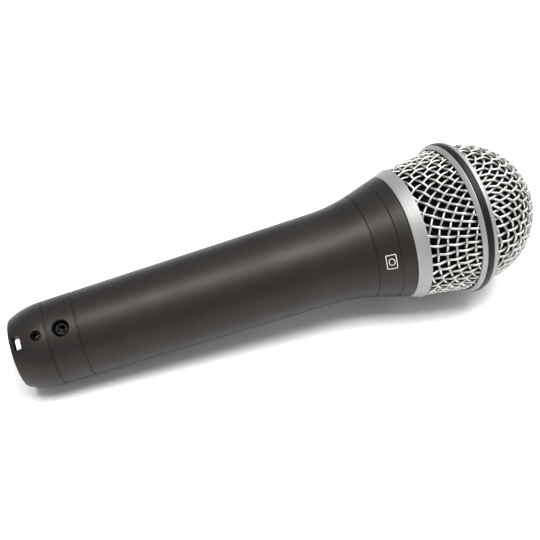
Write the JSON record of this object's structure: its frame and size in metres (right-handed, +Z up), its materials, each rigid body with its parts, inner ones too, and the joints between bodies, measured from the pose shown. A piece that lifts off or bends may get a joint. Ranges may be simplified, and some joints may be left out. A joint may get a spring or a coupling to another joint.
{
  "type": "dynamic microphone",
  "caption": "Handheld dynamic vocal microphone with a tapered satin barrel, a screw-on round wire-mesh grille and a recessed cable socket, lying on its side.",
  "frame": {"origin": "on the supporting surface, under the middle of the whole box of the microphone as it lies", "axes": "+Z up from the surface; +X along the microphone towards the grille, with the microphone's own axis rising at 5.28 degrees; +Y to the far side"},
  "size_m": [0.1746, 0.052, 0.0519],
  "materials": {
    "handle_paint": "satin charcoal paint",
    "insert_plastic": "moulded black",
    "pin_plating": "silver plated",
    "screw_steel": "black oxide",
    "spring_bronze": "bare",
    "lead_red": "PVC sleeve",
    "lead_white": "PVC sleeve",
    "mount_rubber": "soft matte",
    "chamber_plastic": "moulded",
    "board_fibre": "pressed fibre",
    "lug_tin": "tinned",
    "frame_plastic": "moulded",
    "yoke_steel": "zinc plated",
    "magnet_nickel": "nickel plated",
    "coil_copper": "enamelled copper wire",
    "diaphragm_film": "clear polyester film",
    "cap_plastic": "moulded",
    "screen_felt": "felt",
    "seal_rubber": "matte",
    "collar_silver": "satin silver",
    "mesh_nickel": "nickel plated wire",
    "band_silver": "satin silver",
    "bumper_rubber": "satin",
    "foam_black": "open-cell foam"
  },
  "bodies": {
    "handle_body": {"handle": "handle_paint", "socket_insert": "insert_plastic", "contact_pin_1": "pin_plating", "contact_pin_2": "pin_plating", "contact_pin_3": "pin_plating", "insert_screw": "screw_steel", "ground_spring": "spring_bronze", "lead_hot": "lead_red", "lead_cold": "lead_white", "shock_mount": "mount_rubber"},
    "seal_body": {"seal_ring": "seal_rubber"},
    "foam_body": {"foam_liner": "foam_black"},
    "grille_body": {"collar_ring": "collar_silver", "lower_basket": "mesh_nickel", "back_band_ring": "band_silver", "bumper_ring": "bumper_rubber", "front_band_ring": "band_silver", "dome_mesh": "mesh_nickel"},
    "capsule_body": {"rear_chamber": "chamber_plastic", "terminal_board": "board_fibre", "terminal_lugs": "lug_tin", "yoke_cup": "yoke_steel", "magnet": "magnet_nickel", "pole_plate": "yoke_steel", "capsule_frame": "frame_plastic", "resonator_cap": "cap_plastic", "cap_screen": "screen_felt"},
    "coil_body": {"voice_coil": "coil_copper", "diaphragm": "diaphragm_film"}
  },
  "joints": [
    {"name": "thread_rise", "type": "slide", "parent": "handle_body", "child": "seal_body", "axis": [0.9958, 0, 0.092], "range_m": [0, 0.005]},
    {"name": "grille_lift_off", "type": "slide", "parent": "seal_body", "child": "foam_body", "axis": [0.9958, 0, 0.092], "range_m": [0, 0.06]},
    {"name": "grille_unscrew", "type": "hinge", "parent": "foam_body", "child": "grille_body", "pos_m": [0.03778, 0, 0.02389], "axis": [0.9958, 0, 0.092], "range_deg": [0, 1800]},
    {"name": "capsule_float", "type": "slide", "parent": "handle_body", "child": "capsule_body", "axis": [0.9958, 0, 0.092], "range_m": [-0.001, 0.001], "stiffness_N_per_m": 1500, "deforming": ["lead_hot", "lead_cold"]},
    {"name": "coil_travel", "type": "slide", "parent": "capsule_body", "child": "coil_body", "axis": [0.9958, 0, 0.092], "range_m": [-0.0003, 0.0003], "stiffness_N_per_m": 150}
  ],
  "couplings": [
    {"joint": "thread_rise", "follows": "grille_unscrew", "m_per_rad": 0.00015915}
  ]
}
